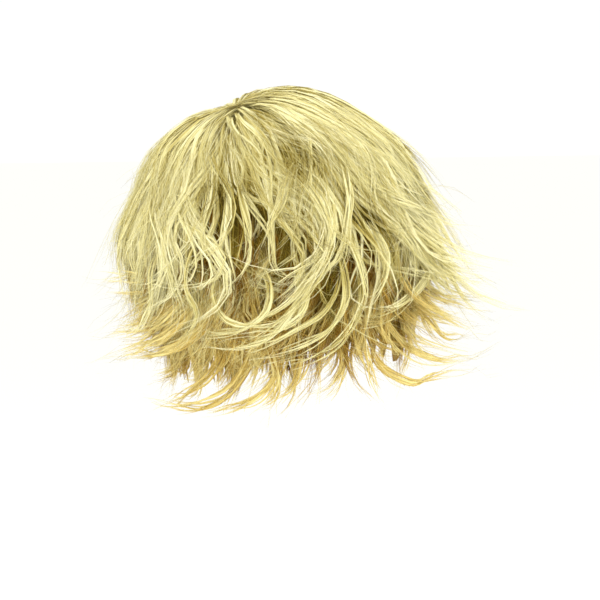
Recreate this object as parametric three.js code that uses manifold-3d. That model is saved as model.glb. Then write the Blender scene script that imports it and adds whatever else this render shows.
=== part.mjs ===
// A short layered wig with flicked ends: a close-fitting cap, and over it a nape layer, a middle layer,
// a crown layer and a fringe, each one solid of overlapping locks on its own backing.
// Millimetres, +Z up. The origin is the inside of the cap where the crown of the head meets it.
// The face looks along -Y, and +X is the wearer's left.
import * as THREE from 'three';
import { mergeVertices } from 'three/addons/utils/BufferGeometryUtils.js';
import Module from 'manifold-3d';

const wasm = await Module();
wasm.setup();

// The head that the cap fits: 558 mm round, an adult's middle size
const HEAD_LENGTH = 196;
const HEAD_BREADTH = 158;
const HEAD_DOME = 105; // from the crown of the head down to its widest ring

// The cap
const CAP_WALL = 1.6;
const HAIRLINE_DROP = 50; // from the crown of the head down to the cap's edge on the forehead
const TEMPLE_DROP = 88;
const EAR_TAB_DROP = 134;
const EAR_NOTCH_DROP = 106;
const NAPE_DROP = 156;

// The hair: every drop is measured from the crown of the head
const CLEARANCE = 0.9; // between the hair and what it lies on
const SEWN = 0.65; // the same where a weft band is sewn on
const LAYER = 8.5; // thickness of a layer of locks
const LAYER_GAP = 1.6; // between the locks of one layer and the next
const CROWN_VOLUME = 6.5; // the crown hair is lifted by this much
const WHORL_BACK = 36; // the whorl lies this far behind the middle of the head
const HANG = 130; // the stretch below the widest ring that the drape table describes
const MIDDLE_ROOT = 54;
const NAPE_ROOT = 112;
const CROWN_BACKING_DROP = 92;
const FRINGE_BACKING_DROP = 66;
const BACKING = 4.6; // thickness of the weft band that the middle and nape locks hang from
const BAND = 12; // height of that band
const RISE = 44; // the stretch over which an outer layer rises to pass over the next one's band
const LOCK_WIDTH = 35;
const FLICK = 22; // how far the ends turn outwards
const FLICK_REACH = 38; // the last stretch of a lock, in which it does so
const FLICK_RISE = 0.2; // how far they turn up, as a share of how far they turn out
const NAPE_FRONT = 20; // the nape's weft band starts this far behind the middle of the head
const FACE_WIDTH = 118; // opening between the front edges of the side hair
const FACE_FRONT = -39; // that opening lies in front of this
const FRINGE_SPREAD = 31; // half the angle of the fringe at the whorl, in degrees
const PART_GAP = 0.8; // between the fringe and the crown hair, along the middle plane
const SECTOR_TIP = 0.01; // half the blunt end of the fringe at the whorl

const HALF_LENGTH = HEAD_LENGTH / 2;
const HALF_BREADTH = HEAD_BREADTH / 2;
const MEAN_RADIUS = (HALF_LENGTH + HALF_BREADTH + HEAD_DOME) / 3;
const WHORL_TILT = Math.asin(WHORL_BACK / HALF_LENGTH);
const STACK = LAYER + LAYER_GAP;
const { degToRad, lerp, smoothstep, clamp } = THREE.MathUtils;

// The cap's edge seen from the side, from the forehead to the nape: along is a share of HALF_LENGTH.
const CAP_EDGE = [
  { along: -0.9, drop: HAIRLINE_DROP },
  { along: -0.66, drop: TEMPLE_DROP },
  { along: -0.44, drop: 0.955 * EAR_TAB_DROP },
  { along: -0.3, drop: EAR_TAB_DROP },
  { along: -0.18, drop: 0.94 * EAR_TAB_DROP },
  { along: 0, drop: EAR_NOTCH_DROP },
  { along: 0.2, drop: 1.04 * EAR_NOTCH_DROP },
  { along: 0.4, drop: 0.92 * NAPE_DROP },
  { along: 0.6, drop: NAPE_DROP },
];
const CAP_EDGE_STEPS = 3;

// How the hair hangs below the head's widest ring: the share of the head's reach that is left
// at each share of HANG, at the back, at the sides and at the front.
const DRAPE = [
  { at: 0, back: 1, side: 1, front: 1 },
  { at: 0.1, back: 0.995, side: 1, front: 1.01 },
  { at: 0.2, back: 0.973, side: 0.992, front: 1.03 },
  { at: 0.3, back: 0.94, side: 0.98, front: 1.05 },
  { at: 0.55, back: 0.87, side: 0.94, front: 1.08 },
  { at: 0.8, back: 0.81, side: 0.9, front: 1.09 },
  { at: 1, back: 0.77, side: 0.87, front: 1.09 },
];

// The locks of each layer. turn is the angle at the whorl: 0 is the back, 90 the wearer's left, 180 the face.
// root and hem are drops and flick is a share of FLICK, and the last two are given for the middle of the
// layer and for its two ends. sweep is in degrees at the tip, where all of the layer sweeps the same way.
const LAYERS = {
  nape_hair: { locks: 9, from: -66, to: 66, root: NAPE_ROOT + 4, hem: [228, 222], flick: [0.9, 0.9] },
  middle_hair: { locks: 19, from: -123, to: 123, root: MIDDLE_ROOT + 4, hem: [190, 230], flick: [1.2, 1.9] },
  crown_hair: { locks: 21, from: -129, to: 129, root: 9, hem: [150, 170], flick: [0.3, 2.1] },
  fringe: { locks: 7, from: 147, to: 213, root: 12, hem: [98, 126], flick: [0.3, 1.5], sweep: 9 },
};

// What makes one lock differ from the next, taken in turn: shorter is a share of the hem's drop.
const VARIETY = [
  { shorter: 0, sweep: 5, flick: 1, width: 1.08 },
  { shorter: 0.07, sweep: -6, flick: 1.35, width: 0.9 },
  { shorter: 0.02, sweep: 8, flick: 0.7, width: 1 },
  { shorter: 0.1, sweep: 2, flick: 1.15, width: 0.95 },
  { shorter: 0.04, sweep: -8, flick: 0.9, width: 1.05 },
];

// A lock's sections from root to tip: at is a share of its length, wide a share of LOCK_WIDTH, deep a share
// of LAYER, and sunk the share of LAYER by which it lies deeper, inside the backing.
const SECTIONS = [
  { at: 0, wide: 0.65, deep: 0.3, sunk: 0.22 },
  { at: 0.17, wide: 0.87, deep: 0.85, sunk: 0.05 },
  { at: 0.31, wide: 0.97, deep: 1, sunk: 0 },
  { at: 0.43, wide: 1, deep: 1, sunk: 0 },
  { at: 0.56, wide: 0.98, deep: 1, sunk: 0 },
  { at: 0.67, wide: 0.83, deep: 0.94, sunk: 0 },
  { at: 0.78, wide: 0.57, deep: 0.82, sunk: 0 },
  { at: 0.89, wide: 0.28, deep: 0.67, sunk: 0 },
  { at: 1, wide: 0.05, deep: 0.47, sunk: 0 },
];

// The tips of the side hair sweep backwards behind SWEEP_TURN and forwards before it, by SWEEP degrees. The
// change takes SWEEP_CHANGE to each side, and the sweep fades out over SWEEP_FADE at the middle of the back.
const SWEEP_TURN = 87;
const SWEEP_CHANGE = 18;
const SWEEP_FADE = 30;
const SWEEP = 6;

const LOCK_SIDES = 5;
const CAP_STEPS = 26; // facets round the cap
const ROUND_STEPS = 36; // facets round a layer of hair
const CROWN_ROWS = 10; // facets down its backing, and down the fringe's
const FRINGE_ROWS = 8;

// The share of the head's reach left at a drop below the widest ring, for a direction on that ring.
function hangShare(drop, towardsSide, towardsBack) {
  const at = clamp(drop / HANG, 0, 1);
  const next = Math.max(1, DRAPE.findIndex((row) => row.at >= at));
  const [above, below] = [DRAPE[next - 1], DRAPE[next]];
  const along = (at - above.at) / (below.at - above.at);
  const end = towardsBack > 0 ? 'back' : 'front';
  return (
    lerp(above[end], below[end], along) * towardsBack ** 2 +
    lerp(above.side, below.side, along) * towardsSide ** 2
  );
}

// A direction from the middle of the head: `turn` degrees round the whorl and `arc` radians away from it.
function fromWhorl(turn, arc) {
  const angle = degToRad(turn);
  return new THREE.Vector3(Math.sin(arc) * Math.sin(angle), Math.sin(arc) * Math.cos(angle), Math.cos(arc))
    .applyAxisAngle(new THREE.Vector3(1, 0, 0), -WHORL_TILT);
}

// The arc at which the flow line at `turn` has dropped by `drop`. Past the widest ring it goes straight down.
function arcAt(turn, drop) {
  const across = Math.cos(degToRad(turn)) * Math.sin(WHORL_TILT);
  const height = 1 - Math.min(drop, HEAD_DOME) / HEAD_DOME;
  const reach = Math.hypot(Math.cos(WHORL_TILT), across);
  const arc = Math.acos(clamp(height / reach, -1, 1)) - Math.atan2(across, Math.cos(WHORL_TILT));
  return Math.max(arc, 0) + Math.max(drop - HEAD_DOME, 0) / MEAN_RADIUS;
}

// The point `lift` off the surface that the hair lies on, and the way out of that surface there.
function drapePoint(turn, arc, lift) {
  const widest = Math.atan2(Math.cos(WHORL_TILT), Math.cos(degToRad(turn)) * Math.sin(WHORL_TILT));
  const way = fromWhorl(turn, Math.min(arc, widest));
  const drop = Math.max(arc - widest, 0) * MEAN_RADIUS;
  const point = new THREE.Vector3(way.x * HALF_BREADTH, way.y * HALF_LENGTH, (way.z - 1) * HEAD_DOME);
  const out = new THREE.Vector3(way.x / HALF_BREADTH, way.y / HALF_LENGTH, way.z / HEAD_DOME).normalize();
  if (drop > 0) {
    const share = hangShare(drop, way.x, way.y);
    point.set(point.x * share, point.y * share, -HEAD_DOME - drop);
  }
  return { point: point.addScaledVector(out, lift), out };
}

// How far off the head a layer's inner side lies at a drop: over `below` layers that begin further down.
function innerLift(below, drop) {
  const roots = [NAPE_ROOT, MIDDLE_ROOT].slice(0, below);
  const steps = roots.map((root) => smoothstep(drop, root - RISE, root - 4));
  return CAP_WALL + CLEARANCE + STACK * steps.reduce((sum, step) => sum + step, 0);
}

// A closed geometry as a solid, after its equal vertices are merged and its empty triangles dropped.
function solidOf(geometry) {
  const bare = new THREE.BufferGeometry().setAttribute('position', geometry.getAttribute('position'));
  bare.setIndex(geometry.index);
  const merged = mergeVertices(bare, 1e-4);
  const all = merged.index.array;
  const kept = [];
  for (let i = 0; i < all.length; i += 3) {
    const [a, b, c] = all.slice(i, i + 3);
    if (a !== b && b !== c && c !== a) kept.push(a, b, c);
  }
  return new wasm.Manifold(
    new wasm.Mesh({
      numProp: 3,
      vertProperties: new Float32Array(merged.attributes.position.array),
      triVerts: new Uint32Array(kept),
    }),
  );
}

function geometryOf(solid) {
  const mesh = solid.getMesh();
  const geometry = new THREE.BufferGeometry();
  geometry.setAttribute('position', new THREE.BufferAttribute(mesh.vertProperties, 3));
  geometry.setIndex(new THREE.BufferAttribute(mesh.triVerts, 1));
  geometry.computeVertexNormals();
  return geometry;
}

// A flat outline drawn in X and Y, or in Y and Z, pushed through the whole head.
function through(outline, alongX) {
  const size = 6 * HEAD_LENGTH;
  const geometry = new THREE.ExtrudeGeometry(new THREE.Shape(outline), { depth: size, bevelEnabled: false });
  geometry.translate(0, 0, -size / 2);
  if (alongX) geometry.rotateX(Math.PI / 2).rotateZ(Math.PI / 2);
  return solidOf(geometry);
}

// The cap: an egg-shaped shell, cut to its edge as seen from the side.
function cap() {
  const dome = (wall) => {
    const ball = new THREE.SphereGeometry(1, CAP_STEPS, CAP_STEPS / 2).rotateX(Math.PI / 2);
    ball.scale(HALF_BREADTH + wall, HALF_LENGTH + wall, HEAD_DOME + wall);
    return solidOf(ball.translate(0, 0, -HEAD_DOME));
  };
  const far = HEAD_LENGTH;
  const [first, ...rest] = CAP_EDGE.map(({ along, drop }) => new THREE.Vector2(along * HALF_LENGTH, -drop));
  const edge = new THREE.Path();
  edge.moveTo(-far, first.y);
  edge.lineTo(first.x, first.y);
  edge.splineThru(rest);
  edge.lineTo(far, rest.at(-1).y);
  const above = [new THREE.Vector2(far, far), new THREE.Vector2(-far, far)];
  const outline = [...edge.getPoints(CAP_EDGE_STEPS), ...above];
  return dome(CAP_WALL).subtract(dome(0)).intersect(through(outline, true));
}

// A shell of hair between two drops, closed over the whorl if `top` is 0.
function shell(top, bottom, rows, inner, outer) {
  const drops = Array.from({ length: rows + 1 }, (_, row) => lerp(top, bottom, row / rows));
  const loop = [
    ...drops.map((drop) => ({ drop, lift: outer })),
    ...drops.toReversed().map((drop) => ({ drop, lift: inner })),
  ];
  if (top > 0) loop.push(loop[0]);
  const profile = loop.map((_, i) => new THREE.Vector2(i + 1, 0));
  const geometry = new THREE.LatheGeometry(profile, ROUND_STEPS);
  const position = geometry.getAttribute('position');
  for (let i = 0; i < position.count; i++) {
    const turn = (360 * Math.floor(i / loop.length)) / ROUND_STEPS;
    const { drop, lift } = loop[i % loop.length];
    // A row near the whorl lies on a circle round it, and a low row is level.
    const arc = top > 0 ? arcAt(turn, drop) : (arcAt(turn, bottom) * drop) / bottom;
    const level = -drapePoint(turn % 360, arc, 0).point.z;
    const { point } = drapePoint(turn % 360, arc, lift(level));
    position.setXYZ(i, point.x, point.y, point.z);
  }
  return solidOf(geometry);
}

// One lock: a round bar bent along its flow line, flattened, and drawn out to a tip. Its root is thin and
// lies inside the backing.
function lock({ turn, root, hem, sweep, flick, flickFrom, width, lift }) {
  const start = arcAt(turn, root);
  const end = arcAt(turn, hem);
  const centre = (at, sunk) => {
    const swept = turn + sweep * at ** 2;
    const arc = lerp(start, end, at);
    const level = -drapePoint(swept, arc, 0).point.z;
    const turned = flick * smoothstep(level, flickFrom, flickFrom + FLICK_REACH);
    const { point, out } = drapePoint(swept, arc, lift(level) + turned - sunk * LAYER);
    point.z += FLICK_RISE * turned;
    return { point, out };
  };
  const steps = SECTIONS.length - 1;
  const bar = new THREE.CylinderGeometry(1, 1, 1, LOCK_SIDES, steps);
  const position = bar.getAttribute('position');
  const corner = new THREE.Vector3();
  for (let i = 0; i < position.count; i++) {
    corner.fromBufferAttribute(position, i);
    const row = Math.round((0.5 - corner.y) * steps);
    const { at, wide, deep, sunk } = SECTIONS[row];
    const before = SECTIONS[Math.max(row - 1, 0)];
    const after = SECTIONS[Math.min(row + 1, steps)];
    const { point, out } = centre(at, sunk);
    const ahead = centre((at + after.at) / 2, sunk).point;
    const along = ahead.sub(centre((at + before.at) / 2, sunk).point).normalize();
    const across = new THREE.Vector3().crossVectors(out, along).normalize();
    const proud = new THREE.Vector3().crossVectors(along, across);
    point.addScaledVector(across, (corner.x * width * wide) / 2);
    point.addScaledVector(proud, (corner.z * LAYER * deep) / 2);
    position.setXYZ(i, point.x, point.y, point.z);
  }
  return solidOf(bar);
}

// The sideways sweep of the side hair's tips at a turn.
function flow(turn) {
  const side = Math.abs(turn);
  const forwards = lerp(-1, 1, smoothstep(side, SWEEP_TURN - SWEEP_CHANGE, SWEEP_TURN + SWEEP_CHANGE));
  return SWEEP * forwards * smoothstep(side, 0, SWEEP_FADE) * Math.sign(turn);
}

// All the locks of a layer, fused to their backing.
function layer(name, backing, lift) {
  const { locks, from, to, root, hem, flick, sweep } = LAYERS[name];
  const solids = [backing];
  for (let i = 0; i < locks; i++) {
    const style = VARIETY[(i * 2) % VARIETY.length];
    const turn = lerp(from, to, i / (locks - 1));
    const out = Math.abs((2 * i) / (locks - 1) - 1); // from 0 in the middle of the layer to 1 at its ends
    const level = lerp(hem[0], hem[1], smoothstep(out, 0.4, 0.8));
    solids.push(
      lock({
        turn,
        root,
        hem: level * (1 - style.shorter),
        sweep: sweep ?? (style.sweep + flow(turn)) * (1 - out ** 4),
        flick: FLICK * lerp(flick[0], flick[1], out ** 2) * style.flick,
        flickFrom: level - FLICK_REACH,
        width: LOCK_WIDTH * style.width,
        lift,
      }),
    );
  }
  return filled(wasm.Manifold.union(solids));
}

// The solid without the small sealed pockets that locks leave where they cross.
function filled(solid) {
  return wasm.Manifold.union(solid.decompose().filter((body) => body.volume() > 0));
}

// Everything in front of an edge that runs across the middle plane at `y`, seen from above. The edge is
// `half` wide to each side, and from its ends the sector opens by `slope` sideways for each step forwards.
function inFront(y, half, slope) {
  const ahead = 3 * HEAD_LENGTH;
  const wide = half + ahead * slope;
  const corners = [[-half, y], [-wide, y - ahead], [wide, y - ahead], [half, y]];
  return through(corners.map(([across, along]) => new THREE.Vector2(across, along)), false);
}

const lifts = {
  nape_hair: (drop) => innerLift(0, drop),
  middle_hair: (drop) => innerLift(1, drop),
  crown_hair: (drop) => innerLift(2, drop),
};
const raised = (lift, by) => (drop) => lift(drop) + by;

const band = (root, lift) =>
  shell(root, root + BAND, 1, raised(lift, SEWN - CLEARANCE), raised(lift, BACKING));
const beforeEars = inFront(NAPE_FRONT, HEAD_BREADTH, 0);
const face = inFront(FACE_FRONT, FACE_WIDTH / 2, 0);
const nape = layer(
  'nape_hair',
  band(NAPE_ROOT, lifts.nape_hair).subtract(beforeEars),
  raised(lifts.nape_hair, LAYER / 2),
);
const middle = filled(
  layer(
    'middle_hair',
    band(MIDDLE_ROOT, lifts.middle_hair),
    raised(lifts.middle_hair, LAYER / 2),
  ).subtract(face),
);
const crownLift = raised(lifts.crown_hair, CROWN_VOLUME + LAYER / 2);
const dome = (drop, rows) => shell(0, drop, rows, lifts.crown_hair, crownLift);
const sector = (gap) => inFront(WHORL_BACK + gap, SECTOR_TIP, Math.tan(degToRad(FRINGE_SPREAD)));
const crown = filled(
  layer('crown_hair', dome(CROWN_BACKING_DROP, CROWN_ROWS), crownLift).subtract(sector(PART_GAP)),
);
const front = filled(
  layer('fringe', dome(FRINGE_BACKING_DROP, FRINGE_ROWS), crownLift).intersect(sector(0)),
);

const group = new THREE.Group();
function add(name, solid, colour, roughness) {
  const material = new THREE.MeshStandardMaterial({ color: colour, roughness, metalness: 0 });
  const mesh = new THREE.Mesh(geometryOf(solid), material);
  mesh.name = name;
  group.add(mesh);
}
add('cap', cap(), 0xcbb892, 0.9);
add('nape_hair', nape, 0xcdb573, 0.5);
add('middle_hair', middle, 0xd6c483, 0.5);
add('crown_hair', crown, 0xe6dc9f, 0.45);
add('fringe', front, 0xeae0a8, 0.45);

export default group;
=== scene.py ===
import math

import bpy
import numpy as np
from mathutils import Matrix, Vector


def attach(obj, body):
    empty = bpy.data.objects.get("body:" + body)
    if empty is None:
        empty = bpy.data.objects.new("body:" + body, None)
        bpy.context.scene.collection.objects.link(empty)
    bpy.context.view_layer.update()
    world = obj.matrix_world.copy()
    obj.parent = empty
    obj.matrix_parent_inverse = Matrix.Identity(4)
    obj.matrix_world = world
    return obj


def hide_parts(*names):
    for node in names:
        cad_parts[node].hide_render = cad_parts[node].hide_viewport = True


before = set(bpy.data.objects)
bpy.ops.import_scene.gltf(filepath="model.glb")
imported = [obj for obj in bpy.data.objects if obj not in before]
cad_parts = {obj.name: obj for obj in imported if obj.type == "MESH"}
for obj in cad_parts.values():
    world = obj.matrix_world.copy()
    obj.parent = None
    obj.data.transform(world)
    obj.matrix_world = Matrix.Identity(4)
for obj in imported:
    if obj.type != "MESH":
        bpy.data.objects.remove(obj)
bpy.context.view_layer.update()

# The cap: a stretch net in the shape of the head, 1.6 mm thick with its sewn rows, cut to a hairline edge,
# a tab before each ear and a nape edge. The hair hides it from outside; it shows from the face and below.
HALF_BREADTH, HALF_LENGTH, DOME = 0.079, 0.098, 0.105
CAP_WALL = 0.0016
# The edge from the side, from the forehead to the nape: share of HALF_LENGTH, and drop in metres
CAP_EDGE = [(-0.9, 0.050), (-0.8, 0.064), (-0.66, 0.088), (-0.55, 0.112), (-0.44, 0.128), (-0.3, 0.134),
            (-0.18, 0.126), (-0.09, 0.114), (0, 0.106), (0.1, 0.105), (0.2, 0.110), (0.3, 0.128),
            (0.4, 0.144), (0.5, 0.152), (0.6, 0.156)]
WEFTS_PER_METRE, WEFT_SHARE, NET_CELLS_PER_METRE = 110, 0.3, 620.0


def colour(text):
    """A linear colour from its usual six hexadecimal digits."""
    parts = [int(text[i : i + 2], 16) / 255 for i in (0, 2, 4)]
    return tuple(p / 12.92 if p <= 0.04045 else ((p + 0.055) / 1.055) ** 2.4 for p in parts) + (1.0,)


class Wire:
    """A socket of a material, so that shader sums can be written as sums."""

    def __init__(self, socket):
        self.socket = socket
        self.tree = socket.id_data

    def node(self, kind, settings, sockets, out=0):
        """Adds any node: its settings first, then the values or links of its sockets."""
        made = self.tree.nodes.new(kind)
        for key, value in settings.items():
            if key != "stops":
                setattr(made, key, value)
        for place, (at, shade) in enumerate(settings.get("stops", [])):
            stops = made.color_ramp.elements
            stop = stops[place] if place < 2 else stops.new(at)
            stop.position, stop.color = at, colour(shade)
        for key, value in sockets.items():
            if isinstance(value, Wire):
                self.tree.links.new(value.socket, made.inputs[key])
            else:
                made.inputs[key].default_value = value
        return Wire(made.outputs[out])

    def sum(self, operation, first, second):
        return self.node("ShaderNodeMath", {"operation": operation}, {0: first, 1: second})

    def __add__(self, other):
        return self.sum("ADD", self, other)

    def __radd__(self, other):
        return self.sum("ADD", other, self)

    def __sub__(self, other):
        return self.sum("SUBTRACT", self, other)

    def __rsub__(self, other):
        return self.sum("SUBTRACT", other, self)

    def __mul__(self, other):
        return self.sum("MULTIPLY", self, other)

    def __rmul__(self, other):
        return self.sum("MULTIPLY", other, self)

    def __truediv__(self, other):
        return self.sum("DIVIDE", self, other)

    def __pow__(self, other):
        return self.sum("POWER", self, other)


def material(name, **plain):
    """A material with a Principled shader: (material, wire of its shader, its shader node)."""
    made = bpy.data.materials.new(name)
    made.use_nodes = True
    shader = made.node_tree.nodes["Principled BSDF"]
    for key, value in plain.items():
        shader.inputs[key.replace("_", " ")].default_value = value
    return made, Wire(shader.outputs[0]), shader


def feed(shader, socket, wire):
    wire.tree.links.new(wire.socket, shader.inputs[socket])


def only(piece):
    """Selects one piece alone."""
    bpy.ops.object.select_all(action="DESELECT")
    piece.select_set(True)
    bpy.context.view_layer.objects.active = piece


bpy.ops.object.select_all(action="DESELECT")
bpy.ops.mesh.primitive_uv_sphere_add(segments=72, ring_count=48, radius=1)
cap = bpy.context.object
cap.name = "cap_net"
bpy.ops.object.mode_set(mode="EDIT")
bpy.ops.transform.resize(value=(HALF_BREADTH, HALF_LENGTH, DOME))
bpy.ops.transform.translate(value=(0, 0, -DOME))
bpy.ops.object.mode_set(mode="OBJECT")
edge = [(-0.3, -CAP_EDGE[0][1])] + [(share * HALF_LENGTH, -drop) for share, drop in CAP_EDGE]
edge += [(0.3, -CAP_EDGE[-1][1]), (0.3, 0.1), (-0.3, 0.1)]
cutter_mesh = bpy.data.meshes.new("cap_outline")
cutter_mesh.from_pydata([(-0.2, y, z) for y, z in edge], [], [list(range(len(edge)))])
cutter = bpy.data.objects.new("cap_outline", cutter_mesh)
bpy.context.collection.objects.link(cutter)
only(cutter)
bpy.ops.object.mode_set(mode="EDIT")
bpy.ops.mesh.select_all(action="SELECT")
bpy.ops.mesh.extrude_region_move(TRANSFORM_OT_translate={"value": (0.4, 0, 0)})
bpy.ops.mesh.select_all(action="SELECT")
bpy.ops.mesh.normals_make_consistent(inside=False)
bpy.ops.object.mode_set(mode="OBJECT")
only(cap)
wall = cap.modifiers.new("wall", "SOLIDIFY")
wall.thickness, wall.offset = CAP_WALL, 1
cut = cap.modifiers.new("cut", "BOOLEAN")
cut.operation, cut.object, cut.solver = "INTERSECT", cutter, "EXACT"
for modifier in ("wall", "cut"):
    bpy.ops.object.modifier_apply(modifier=modifier)
bpy.data.objects.remove(cutter)
bpy.ops.object.shade_smooth_by_angle(angle=math.radians(40))

net, wire, shader = material("cap_net", Roughness=0.85)
place = wire.node("ShaderNodeTexCoord", {}, {}, "Object")
height = wire.node("ShaderNodeSeparateXYZ", {}, {"Vector": place}, "Z")
between_wefts = wire.node("ShaderNodeMath", {"operation": "FRACT"}, {0: height * WEFTS_PER_METRE})
sewn_row = wire.node("ShaderNodeMath", {"operation": "LESS_THAN"}, {0: between_wefts, 1: WEFT_SHARE})
net_cell = wire.node("ShaderNodeTexVoronoi", {"feature": "DISTANCE_TO_EDGE"},
                     {"Vector": place, "Scale": NET_CELLS_PER_METRE})
in_hole = wire.node("ShaderNodeMath", {"operation": "GREATER_THAN"}, {0: net_cell, 1: 0.22})
netting = wire.node("ShaderNodeMix", {"data_type": "RGBA"},
                    {"Factor": in_hole, 6: colour("e6dcc4"), 7: colour("c9bb9a")}, 2)
sewn = wire.node("ShaderNodeMix", {"data_type": "RGBA"},
                 {"Factor": sewn_row, 6: netting, 7: colour("d6c184")}, 2)
feed(shader, "Base Color", sewn)
bump = wire.node("ShaderNodeBump", {}, {"Strength": 0.5, "Distance": 0.0005, "Height": net_cell + sewn_row})
feed(shader, "Normal", bump)
cap.data.materials.clear()
cap.data.materials.append(net)
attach(cap, "root")
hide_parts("cap")

# The nape hair: the lowest layer, golden brown, two rows of wefts sewn across the back of the cap. Each row
# is made of locks that part into wisps of fibres, lie close to the neck, and turn out at their ends.
chance = np.random.default_rng(1907)
# The hair's form is the head's, with flow lines from a whorl on its tilted axis, and below the head's
# widest ring it hangs for up to HANG
WHORL_BACK = 0.036
TILT = math.asin(WHORL_BACK / HALF_LENGTH)
MEAN_RADIUS = (HALF_BREADTH + HALF_LENGTH + DOME) / 3
HANG = 0.130
# The share of the head's reach left at each share of HANG below the widest ring: at, back, side, front
DRAPE = np.array([(0, 1, 1, 1), (0.1, 0.995, 1, 1.01), (0.2, 0.973, 0.992, 1.03), (0.3, 0.94, 0.98, 1.05),
                  (0.55, 0.87, 0.94, 1.08), (0.8, 0.81, 0.9, 1.09), (1, 0.77, 0.87, 1.09)])
# The gap over the cap, a layer's thickness, the gap between layers, how far up a layer starts to rise over
# the one below it, and how far below the crown of the head the two lower layers begin
CLEARANCE, LAYER, LAYER_GAP, RISE = 0.0009, 0.0085, 0.0016, 0.044
MIDDLE_ROOT, NAPE_ROOT = 0.054, 0.112
# The steps along a lock's middle line, the points along a wisp, and the strength of a painted glow: the hair
# gives off light in its own colour, standing in for the light that passes on from fibre to fibre and keeps
# shaded hair golden
STEPS = 44
WISP_POINTS = 12
PAINTED_GLOW = 0.05
# How far out the hair may stand on each side: axis, direction, reach and give past the reach in metres
HELD_WITHIN = ((0, -1, 0.122, 0.022), (0, 1, 0.126, 0.024), (1, -1, 0.140, 0.026), (1, 1, 0.128, 0.022))


def ease(x, low, high):
    s = np.clip((x - low) / (high - low), 0, 1)
    return s * s * (3 - 2 * s)


def arc_at(turn, drop):
    """The arc from the whorl at which the flow line at `turn` degrees has dropped by `drop`."""
    across = np.cos(np.radians(turn)) * math.sin(TILT)
    height = 1 - np.minimum(drop, DOME) / DOME
    reach = np.hypot(math.cos(TILT), across)
    arc = np.arccos(np.clip(height / reach, -1, 1)) - np.arctan2(across, math.cos(TILT))
    return np.maximum(arc, 0) + np.maximum(drop - DOME, 0) / MEAN_RADIUS


def on_hair(turn, arc, lift):
    """Points `lift` off the form that the hair lies on, and the way out of it there."""
    t = np.radians(turn)
    widest = np.arctan2(math.cos(TILT), np.cos(t) * math.sin(TILT))
    a = np.minimum(arc, widest)
    drop = np.maximum(arc - widest, 0) * MEAN_RADIUS
    x, y, z = np.sin(a) * np.sin(t), np.sin(a) * np.cos(t), np.cos(a)
    y, z = y * math.cos(TILT) + z * math.sin(TILT), z * math.cos(TILT) - y * math.sin(TILT)
    out = np.stack([x / HALF_BREADTH, y / HALF_LENGTH, z / DOME], -1)
    out /= np.linalg.norm(out, axis=-1, keepdims=True)
    at = drop / HANG
    side = np.interp(at, DRAPE[:, 0], DRAPE[:, 2])
    end = np.where(y > 0, np.interp(at, DRAPE[:, 0], DRAPE[:, 1]), np.interp(at, DRAPE[:, 0], DRAPE[:, 3]))
    share = np.where(drop > 0, end * y * y + side * x * x, 1)
    point = np.stack([x * HALF_BREADTH * share, y * HALF_LENGTH * share,
                      np.where(drop > 0, -DOME - drop, (z - 1) * DOME)], -1)
    return point + out * np.asarray(lift)[..., None], out


def inner_lift(below, drop):
    """How far off the head a layer's inner side lies, over `below` layers that begin further down."""
    lift = np.full(np.shape(drop), CAP_WALL + CLEARANCE)
    for root in (NAPE_ROOT, MIDDLE_ROOT)[:below]:
        lift = lift + (LAYER + LAYER_GAP) * ease(drop, root - RISE, root - 0.004)
    return lift


def unit(v):
    return v / np.maximum(np.linalg.norm(v, axis=-1, keepdims=True), 1e-9)


# The direction and scale of the picture, for dark spots, chosen locks, lamps and the camera
VIEW_TURN, VIEW_RISE = math.radians(235), math.radians(5.5)
view_back = np.array([math.sin(VIEW_TURN) * math.cos(VIEW_RISE), -math.cos(VIEW_TURN) * math.cos(VIEW_RISE),
                      math.sin(VIEW_RISE)])
view_right = np.array([math.cos(VIEW_TURN), math.sin(VIEW_TURN), 0.0])
view_up = np.cross(view_back, view_right)
MM_PER_PIXEL = 0.77
MIDDLE_PIXEL, CROWN_PIXEL = 283, 107.4
FACING = 0.06


def seen(x, y):
    """A pixel of the picture as metres to the right of the middle of the head, and up from its crown."""
    return np.array([(x - MIDDLE_PIXEL) * MM_PER_PIXEL, (CROWN_PIXEL - y) * MM_PER_PIXEL]) / 1000


# A grid over the form, to look up what lies under a pixel
form_turn, form_drop = np.meshgrid(np.arange(-180, 180, 1.5), np.arange(0.002, 0.226, 0.0015),
                                   indexing="ij")
form_arc = arc_at(form_turn, form_drop)


def under_pixel(x, y, below, lift):
    """The point of a layer's form that the picture shows at a pixel: its turn, drop, place and way out.
    The form's near side wins over its far side by FACING."""
    spots, out = on_hair(form_turn, form_arc, inner_lift(below, form_drop) + lift)
    right, up = seen(x, y)
    miss = np.hypot(spots @ view_right - right, spots @ view_up - up)
    best = np.unravel_index(np.argmin(miss - FACING * (spots @ view_back)), miss.shape)
    spot = spots[best]
    spot = spot + view_right * (right - spot @ view_right) + view_up * (up - spot @ view_up)
    return form_turn[best], form_drop[best], spot, out[best]


# Painted shade in the deep gaps between the locks: round these spots the hair's tone is darkened, most of all
# in its lower rows, and the top wisps leave it in sight: pixel, reach in metres, share of the tone taken, and
# share of the top wisps gone
painted_shade_spots = [
    (235, 212, 0.022, 0.8, 1), (259, 235, 0.014, 0.7, 1), (289, 252, 0.018, 0.7, 1),
    (361, 226, 0.021, 0.75, 1), (340, 250, 0.012, 0.6, 0.9), (300, 174, 0.018, 0.5, 0.3),
    (345, 282, 0.016, 0.7, 0.9), (318, 296, 0.014, 0.6, 0.8), (262, 312, 0.016, 0.45, 0.6),
    (325, 345, 0.024, 0.6, 0.7), (392, 312, 0.020, 0.6, 0.6), (236, 274, 0.014, 0.4, 0.6),
    (262, 112, 0.018, 0.12, 0), (205, 262, 0.010, 0.4, 0.6), (190, 160, 0.018, 0.15, 0),
]
painted_shade_places = [(under_pixel(x, y, 2, 0.008)[2], reach, shade_taken, gone) for x, y, reach, shade_taken, gone in painted_shade_spots]


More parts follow.
